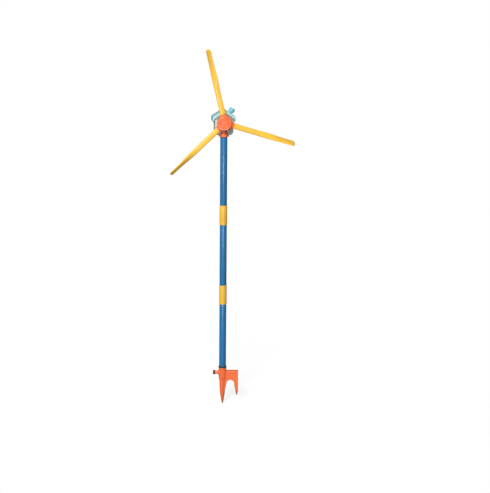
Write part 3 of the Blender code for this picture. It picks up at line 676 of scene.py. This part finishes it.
def build_plug():
    """The spigot's stopper: a stem, a grooved head and a slightly dished end."""
    stem, stem_edge, stem_end = 0.0040, 0.0006, SOCKET_RADIUS + 0.0030
    shoulder, edge, dish_radius, step = SPIGOT_END + GAP, 0.0012, 0.0030, 0.0004
    profile = [
        (0, stem_end),
        (stem - stem_edge, stem_end),
        (stem, stem_end + stem_edge),
        (stem, shoulder),
        (PLUG_RADIUS - 0.0008, shoulder),
        (PLUG_RADIUS, shoulder + 0.0008),
        (PLUG_RADIUS, SPIGOT_END + 0.0022),
        (PLUG_RADIUS - step, SPIGOT_END + 0.0026),
        (PLUG_RADIUS, SPIGOT_END + 0.0030),
        (PLUG_RADIUS, SPIGOT_END + 0.0040),
        *arc((PLUG_RADIUS - edge, PLUG_END - edge), edge, 0, 90, 6),
        (dish_radius, PLUG_END),
        (dish_radius - step, PLUG_END - step),
        (0, PLUG_END - step),
    ]
    finish_piece(object_of("end_plug", turned(profile), sideways()), "spigot_plug")


# ---------------------------------------------------------------- head


def nacelle_outline(inset=0.0):
    """The head's section: upright sides, rounded lower corners and a gabled top, counter-clockwise."""
    side = NACELLE_HALF_WIDTH
    rise = math.tan(ROOF_SLOPE)
    peak = ROOF_PEAK - ROOF_DEPTH - ROOF_CLEARANCE
    corner = NACELLE_CORNER
    outline = [
        (0, peak),
        (-side, peak - side * rise),
        *arc((-side + corner, NACELLE_BOTTOM + corner), corner, 180, 270, 16),
        *arc((side - corner, NACELLE_BOTTOM + corner), corner, 270, 360, 16),
        (side, peak - side * rise),
    ]
    return offset(outline, inset)


def head_rod(name, radius, low, high, matrix=Matrix()):
    """A rod in the head's frame, to add to a shell or to cut out of it."""
    return object_of(name, rod(radius, low, high, CUTTER_EDGE), HEAD @ matrix)


def spindle_hole():
    """The rod that cuts the hole for the knob's spindle."""
    return object_of("spindle", rod(SPINDLE_RADIUS + GAP, -SPINDLE_DEPTH, 0.01), knob_place())


def neck_cup(front_wall):
    """The cup that holds the neck, cut off flat at the shell's front wall."""
    cup = rod(COLLAR_RADIUS + 0.0012, NACELLE_BOTTOM + 0.0010, CUP_TOP, CUTTER_EDGE)
    cut = [*cup.verts, *cup.edges, *cup.faces]
    bmesh.ops.bisect_plane(
        cup, geom=cut, plane_co=(0, front_wall, 0), plane_no=(0, -1, 0), clear_outer=True
    )
    bmesh.ops.edgeloop_fill(cup, edges=[edge for edge in cup.edges if edge.is_boundary])
    return object_of("cup", cup, HEAD)


def build_front_shell():
    """The front half of the case, with a boss for the bush and the cup that turns on the neck."""
    roundings = (SHELL_ROUNDINGS[0], SHELL_JOINT_EDGE)
    shell = prism(nacelle_outline(), NACELLE_FRONT, NACELLE_SPLIT, roundings)
    shell = object_of("shell_front", shell, HEAD)
    hollow = prism(nacelle_outline(WALL), NACELLE_FRONT + WALL, NACELLE_SPLIT + 0.01)
    hollow = object_of("hollow", hollow, HEAD)
    shaped(shell, [], [hollow])
    front_wall = NACELLE_FRONT + 0.0010
    cup = neck_cup(front_wall)
    boss = head_rod("boss", 0.0085, 0, 0.0090, facing_back(0, front_wall, HUB_HEIGHT))
    shaped(shell, [cup, boss])
    cuts = [
        head_rod("neck", NECK_RADIUS + GAP, BELOW_HEAD, NECK_TOP + GAP),
        head_rod("collar_recess", COLLAR_RADIUS + GAP, BELOW_HEAD, COLLAR_HEIGHTS[1] + GAP),
        head_rod("pivot", PIVOT_RADIUS + GAP, BELOW_HEAD, 0.93),
        head_rod("bush", BUSH_SEAT_RADIUS, -0.01, 0.02, facing_back(0, NACELLE_FRONT, HUB_HEIGHT)),
        spindle_hole(),
    ]
    shaped(shell, [], cuts)
    finish_piece(shell, "nacelle_front")


def build_rear_shell():
    """The rear half of the case, with seats for its three screws."""
    roundings = (SHELL_JOINT_EDGE, SHELL_ROUNDINGS[1])
    shell = prism(nacelle_outline(), NACELLE_SPLIT + GAP, NACELLE_REAR, roundings)
    shell = object_of("shell_rear", shell, HEAD)
    hollow = prism(nacelle_outline(WALL), NACELLE_SPLIT - 0.01, NACELLE_REAR - WALL)
    shaped(shell, [], [object_of("hollow", hollow, HEAD)])
    cuts = []
    for x, z in CASE_SCREWS:
        back = facing_front(x, NACELLE_REAR + 0.0020, z)
        cuts.append(head_rod("screw_seat", 0.0031, 0, 0.0040, back))
        cuts.append(head_rod("screw_hole", 0.0017, 0, 0.0100, back))
    shaped(shell, [], cuts)
    finish_piece(shell, "nacelle_rear")


def build_case_screws():
    """Round-headed screws with a cross recess."""
    thread, head, edge, crown = 0.0014, 0.0027, 0.0008, 0.0018
    profile = [
        (0, -0.0250),
        (0.0010, -0.0240),
        (thread, -0.0225),
        (thread, 0),
        (head, 0),
        (head, edge),
        *arc((head - edge, edge), edge, 20, 80, 4),
        (0, crown),
    ]
    recess, depth, above = 0.0014, 0.0009, 0.0030
    blade = [(-recess, depth), (recess, depth), (recess, above), (-recess, above)]
    seat = NACELLE_REAR - WALL + GAP
    for index, (x, z) in enumerate(CASE_SCREWS, 1):
        matrix = HEAD @ facing_back(x, seat, z)
        screw = object_of(f"screw_{index}", turned(profile, segments=48), matrix)
        slots = []
        for turn in (0, math.pi / 2):
            slot = prism(blade, -0.0003, 0.0003)
            slots.append(object_of("slot", slot, matrix @ Matrix.Rotation(turn, 4, "Z")))
        finish_piece(shaped(screw, [], slots), f"case_screw_{index}")


def roof_outline(undercut=0.0):
    """The roof's gable: two slopes, drooping rounded eaves and an open underside, counter-clockwise."""
    rise = math.tan(ROOF_SLOPE)
    eave_top = ROOF_PEAK - ROOF_HALF_WIDTH * rise
    inner = ROOF_PEAK - ROOF_DEPTH + UNDERCUT[2] * undercut
    ridge_centre, ridge_radius = ROOF_PEAK - 0.0075, 0.0064
    top_radius, low_radius, edge = 0.0034, 0.0036, ROOF_HALF_WIDTH
    top_centre = eave_top - 0.0014
    low_centre = eave_top - EAVE_HEIGHT + low_radius + UNDERCUT[1] * undercut
    side = NACELLE_HALF_WIDTH
    return [
        *arc((0, ridge_centre), ridge_radius, 58, 122, 12),
        *arc((-edge + top_radius, top_centre), top_radius, 122, 180, 10),
        *arc((-edge + low_radius, low_centre), low_radius, 180, 290, 12),
        (-side, inner - side * rise),
        (0, inner),
        (side, inner - side * rise),
        *arc((edge - low_radius, low_centre), low_radius, 250, 360, 12),
        *arc((edge - top_radius, top_centre), top_radius, 0, 58, 10),
    ]


def roof_mesh():
    """The roof drawn along Y, with rounded ends and an undercut that curves back under its front."""
    start, end = ROOF_SPAN
    edge, steps = 0.0016, 16
    turns = quarter_turn()
    places = [(edge * (1 - math.cos(t)), edge * (1 - math.sin(t))) for t in turns]
    places += [(edge + (UNDERCUT[0] - edge) * step / steps, 0) for step in range(1, steps + 1)]
    rings = []
    for back, inset in places:
        undercut = 1 - math.sqrt(1 - (1 - back / UNDERCUT[0]) ** 2)
        outline = offset(roof_outline(undercut), inset)
        rings.append([Vector((x, start + back, z)) for x, z in outline])
    for t in reversed(turns):
        outline = offset(roof_outline(), edge * (1 - math.sin(t)))
        rings.append([Vector((x, end - edge * (1 - math.cos(t)), z)) for x, z in outline])
    return loft(rings)


def build_roof():
    """The roof, hollow over the case and pierced for the knob's spindle."""
    roof = object_of("roof", roof_mesh(), HEAD)
    rise = math.tan(ROOF_SLOPE)
    half, end_wall = NACELLE_HALF_WIDTH - 0.0030, 0.0010
    top, low = ROOF_PEAK - 0.0045, ROOF_PEAK - ROOF_DEPTH - 0.0040
    hollow = [(0, top), (-half, top - half * rise), (-half, low - half * rise), (0, low)]
    hollow += [(half, low - half * rise), (half, top - half * rise)]
    hollow = prism(hollow, NACELLE_FRONT + end_wall, NACELLE_REAR - end_wall)
    shaped(roof, [], [object_of("hollow", hollow, HEAD), spindle_hole()])
    finish_piece(roof, "roof_cover")


def build_knob():
    """A round knob on a narrower foot, with grip flutes and a rounded crown."""
    low, high = KNOB_SPAN
    edge, around, rings = 0.0014, 144, []
    levels = [(low, 0.0008), (low + 0.0003, 0.0003), (low + 0.0008, 0)]
    for degrees in range(0, 91, 15):
        turn = math.radians(degrees)
        levels.append((high - edge + edge * math.sin(turn), edge * (1 - math.cos(turn))))
    for height, inset in levels:
        ring = []
        for angle in full_turn(around):
            flute = FLUTE_DEPTH * ((1 + math.cos(KNOB_FLUTES * angle)) / 2) ** 2
            radius = KNOB_RADIUS - inset - flute
            ring.append(Vector((radius * math.cos(angle), radius * math.sin(angle), height)))
        rings.append(ring)
    knob = object_of("knob", loft(rings), knob_place())
    foot = object_of("foot", rod(0.0060, GAP, low + 0.002), knob_place())
    bore = rod(SPINDLE_RADIUS + GAP, -0.01, high - 0.004, CUTTER_EDGE)
    bore = object_of("bore", bore, knob_place())
    finish_piece(shaped(knob, [foot], [bore]), "switch_knob")


# ---------------------------------------------------------------- rotor


def blunted(value):
    """Raises a sine or cosine to a power, which squares up the ellipse that it draws."""
    return math.copysign(abs(value) ** BLUNTNESS, value)


def blade_section(radius, extra=0.0):
    """One section of a blade that lies along +X, its chord turned from Y by the twist."""
    start, end = TWIST_SPAN
    turn = BLADE_TWIST * math.sin(math.pi / 2 * min(1, max(0, (radius - start) / (end - start))))
    growth = max(0, (radius - start) / (BLADE_RADIUS - start))
    chord = BLADE_CHORDS[0] + (BLADE_CHORDS[1] - BLADE_CHORDS[0]) * growth
    thickness = BLADE_THICKNESSES[0] + (BLADE_THICKNESSES[1] - BLADE_THICKNESSES[0]) * growth
    fade = max(0, (radius - BLADE_RADIUS + TIP_ROUNDING) / TIP_ROUNDING)
    narrowing = math.sqrt(max(0.02, 1 - fade * fade))
    half_chord = chord / 2 * narrowing + extra
    half_thickness = thickness / 2 * narrowing + extra
    section = []
    for angle in full_turn(BLADE_POINTS):
        across = half_chord * math.cos(angle)
        through = half_thickness * blunted(math.sin(angle))
        side = across * math.cos(turn) + through * math.sin(turn)
        forward = through * math.cos(turn) - across * math.sin(turn)
        section.append(Vector((radius, side, forward)))
    return section


def turned_to(index):
    """Turns a shape that lies along +X to the place of one of the three blades."""
    return ROTOR @ Matrix.Rotation(BLADE_PHASE + index * 2 * math.pi / 3, 4, "Z")


def build_blades():
    """Three blades, each with a straight stretch, a twisted stretch and a rounded tip."""
    twist_start, tip_start = TWIST_SPAN[0], BLADE_RADIUS - TIP_ROUNDING
    straight_steps, twist_steps, tip_steps = 12, 48, 12
    places = [
        BLADE_ROOT + (twist_start - BLADE_ROOT) * i / straight_steps for i in range(straight_steps)
    ]
    places += [twist_start + (tip_start - twist_start) * i / twist_steps for i in range(twist_steps)]
    for i in range(tip_steps + 1):
        places.append(tip_start + TIP_ROUNDING * math.sin(math.pi / 2 * i / tip_steps))
    for index in range(3):
        mesh = loft([blade_section(radius) for radius in places])
        blade = object_of(f"sail_{index + 1}", mesh, turned_to(index), BLADE_SHARP_ANGLE)
        finish_piece(blade, f"blade_{index + 1}")


def socket_mesh():
    """One blade socket along +X: a flattened cone with a blunt mouth."""
    around, rings = 48, []
    for radius, half_width, half_height in (
        (0.0120, 0.0142, 0.0066),
        (0.0240, 0.0124, 0.0066),
        (0.0290, 0.0117, 0.0064),
        (SOCKET_MOUTH - 0.0010, 0.0114, 0.0062),
        (SOCKET_MOUTH, 0.0107, 0.0055),
    ):
        ring = []
        for angle in full_turn(around):
            across = half_width * blunted(math.cos(angle))
            through = half_height * blunted(math.sin(angle))
            ring.append(Vector((radius, across, through)))
        rings.append(ring)
    return loft(rings)


def build_hub():
    """The drum and its three sockets, melted into one moulding, with pockets for the blades."""
    low, high = DRUM_SPAN
    edge = 0.0020
    lower = arc((DRUM_RADIUS - edge, low + edge), edge, -90, 0, 6)
    upper = arc((DRUM_RADIUS - edge, high - edge), edge, 0, 90, 6)
    hub = object_of("hub", turned([(0, low), *lower, *upper, (0, high)]), ROTOR)
    sockets, pockets = [], []
    for index in range(3):
        sockets.append(object_of(f"socket_{index}", socket_mesh(), turned_to(index)))
        pocket = loft([blade_section(r, GAP) for r in (BLADE_ROOT - GAP, SOCKET_MOUTH + 0.004)])
        pockets.append(object_of(f"pocket_{index}", pocket, turned_to(index)))
    bore = object_of("bore", rod(SHAFT_RADIUS + GAP, -0.02, 0.02, CUTTER_EDGE), ROTOR)
    shaped(hub, sockets, [*pockets, bore], voxel=HUB_CELL, smooth=4)
    finish_piece(hub, "hub_body")


def build_cap():
    """The hub's cap: a flat face, a groove round it, a rounded rim and a hollow back."""
    back = DRUM_SPAN[1] + GAP
    face = CAP_FRONT - 0.0003
    floor = CAP_FRONT - 0.0026
    groove_inside, groove_outside = CAP_FACE_RADIUS + 0.0001, CAP_FACE_RADIUS + 0.0018
    hollow_radius, hollow_floor = 0.0100, floor - 0.0010
    rounding, edge = 0.0048, 0.0006
    profile = [
        (0, face),
        *arc((CAP_FACE_RADIUS - edge, face - edge), edge, 90, 0, 5),
        (groove_inside, floor),
        (groove_outside, floor),
        *arc((CAP_RADIUS - rounding, CAP_FRONT - rounding), rounding, 100, 0, 24),
        (CAP_RADIUS, back + edge),
        (CAP_RADIUS - edge, back),
        (hollow_radius, back),
        (hollow_radius, hollow_floor),
        (0, hollow_floor),
    ]
    finish_piece(object_of("cap", turned(profile, segments=CAP_ROUND), ROTOR), "hub_cap")


# ---------------------------------------------------------------- CAD pieces that stay


def finish_kept_nodes():
    """Gives the CAD nodes that no finer piece stands for their materials."""
    for name, obj in frame["nodes"].items():
        if obj.hide_render:
            continue
        material = MATERIALS[SLOT_OF[name]]
        if not obj.material_slots:
            obj.data.materials.append(material)
        for held in obj.material_slots:
            held.material = material


# ---------------------------------------------------------------- studio


WHITE = (1, 1, 1, 1)
FLOOR_SIZE = 6.0
FLOOR_DROP = 0.0004  # below the spike's tip
FLOOR_TONES = ((0.235, 0.235, 0.235, 1), (0.25, 0.25, 0.25, 1))
FLOOR_GLOW = 0.80
FLOOR_FADE = (0.3, 1.1)  # distances from the pole between which the floor fades into the white world
WORLD_FILL = 0.09


def build_floor():
    """A nearly white floor that takes the object's shadow and fades out into the background."""
    mesh = bmesh.new()
    bmesh.ops.create_grid(mesh, x_segments=1, y_segments=1, size=FLOOR_SIZE)
    floor = object_of("floor", mesh, place(0, 0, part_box("ground_spike")[0].z - FLOOR_DROP))
    made, tree, shader = blank("floor_paint")
    where = object_point(tree)
    mottle = ranged(tree, noise(tree, where, 6.0, 3.0), 0.3, 0.7, 0, 1)
    tree.links.new(mixed(tree, mottle, *FLOOR_TONES), shader.inputs["Base Color"])
    shader.inputs["Roughness"].default_value = 0.9
    shader.inputs["Specular IOR Level"].default_value = 0.0
    shader.inputs["Emission Color"].default_value = WHITE
    shader.inputs["Emission Strength"].default_value = FLOOR_GLOW
    distance = node(tree, "ShaderNodeVectorMath", {0: where}, operation="LENGTH")
    fade = ranged(tree, distance.outputs["Value"], *FLOOR_FADE, 1.0, 0.0)
    tree.links.new(fade, shader.inputs["Alpha"])
    floor.data.materials.append(made)
    floor.visible_diffuse = False
    floor.visible_glossy = False


def build_world():
    """A world that is white to the camera and only a weak fill to the object."""
    world = bpy.data.worlds.new("studio")
    bpy.context.scene.world = world
    world.use_nodes = True
    tree = world.node_tree
    tree.nodes.clear()
    camera_ray = node(tree, "ShaderNodeLightPath").outputs["Is Camera Ray"]
    fill = node(tree, "ShaderNodeBackground", {"Color": WHITE, "Strength": WORLD_FILL})
    seen = node(tree, "ShaderNodeBackground", {"Color": WHITE, "Strength": 1.0})
    both = node(tree, "ShaderNodeMixShader", {0: camera_ray, 1: fill.outputs[0], 2: seen.outputs[0]})
    node(tree, "ShaderNodeOutputWorld", {"Surface": both.outputs[0]})


def add_light(name, position, target, size, power):
    """An area light that points at its target and that the camera doesn't see."""
    data = bpy.data.lights.new(name, "AREA")
    data.shape = "RECTANGLE"
    data.size, data.size_y = size
    data.energy = power
    light = bpy.data.objects.new(name, data)
    bpy.context.scene.collection.objects.link(light)
    light.location = position
    light.rotation_mode = "QUATERNION"
    light.rotation_quaternion = (Vector(target) - Vector(position)).to_track_quat("-Z", "Y")
    light.visible_camera = False
    return light


def reach_only(light, names):
    """Makes the light fall on the detailed pieces of these nodes and on nothing else."""
    reached = bpy.data.collections.new(f"reached_by_{light.name}")
    for name in names:
        reached.objects.link(PIECES[name])
    light.light_linking.receiver_collection = reached


def build_lights():
    """A high key and a small lamp from the front, soft fills all round, and two lights that reach only
    some pieces: a low strip that glints on the hub cap, and a weak fill for the blades from below."""
    add_light("key", (-1.6, -6.4, 5.6), (0, 0, 0.5), (2.0, 2.0), 650)
    add_light("front", (-0.30, -3.9, 0.25), (0, 0, 0.5), (0.40, 0.60), 36)
    fills = (
        ("left_fill", (-3.5, -1.0, 1.6), (0, 0, 0.8), 26),
        ("right_fill", (3.6, 1.2, 1.9), (0, 0, 0.8), 24),
        ("back_fill", (1.2, 5.6, 1.7), (0, 0, 0.6), 150),
    )
    for name, position, target, power in fills:
        add_light(name, position, target, (1.2, 1.2), power).visible_glossy = False
    low = add_light("low", (-0.15, -0.45, 0.20), (0, -0.04, HUB_HEIGHT), (1.3, 0.2), 26)
    low.visible_diffuse = False
    reach_only(low, ["hub_cap"])
    under = add_light("under_fill", (1.6, -0.9, -0.02), (-0.1, 0, 0.9), (0.8, 0.8), 13)
    under.visible_glossy = False
    reach_only(under, ["blade_1", "blade_2", "blade_3"])


CAMERA_POSITION = (0.0777, -3.87, 1.4647)
CAMERA_PITCH = math.radians(13.96)
CAMERA_ROLL = math.radians(0.608)
SENSOR_WIDTH = 36.0  # millimetres, and so is LENS
LENS = 81.711968
CLIP_SPAN = (0.05, 50)


def build_camera():
    """The photograph's view: level along +Y, tipped down by the pitch and turned by the roll."""
    forward = Vector((0, math.cos(CAMERA_PITCH), -math.sin(CAMERA_PITCH)))
    level = Vector((1, 0, 0))
    upright = level.cross(forward)
    right = level * math.cos(CAMERA_ROLL) + upright * math.sin(CAMERA_ROLL)
    up = upright * math.cos(CAMERA_ROLL) - level * math.sin(CAMERA_ROLL)
    data = bpy.data.cameras.new("camera")
    data.sensor_width = SENSOR_WIDTH
    data.lens = LENS
    data.clip_start, data.clip_end = CLIP_SPAN
    camera = bpy.data.objects.new("camera", data)
    bpy.context.scene.collection.objects.link(camera)
    turn = Matrix((right, up, -forward)).transposed().to_4x4()
    camera.matrix_world = place(*CAMERA_POSITION) @ turn
    bpy.context.scene.camera = camera


def main():
    build_tubes()
    build_couplers()
    build_seal()
    build_collar()
    build_stake()
    build_plug()
    build_front_shell()
    build_rear_shell()
    build_case_screws()
    build_roof()
    build_knob()
    build_blades()
    build_hub()
    build_cap()
    finish_kept_nodes()
    build_floor()
    build_world()
    build_lights()
    build_camera()
    bpy.context.scene.view_settings.view_transform = "Standard"


main()
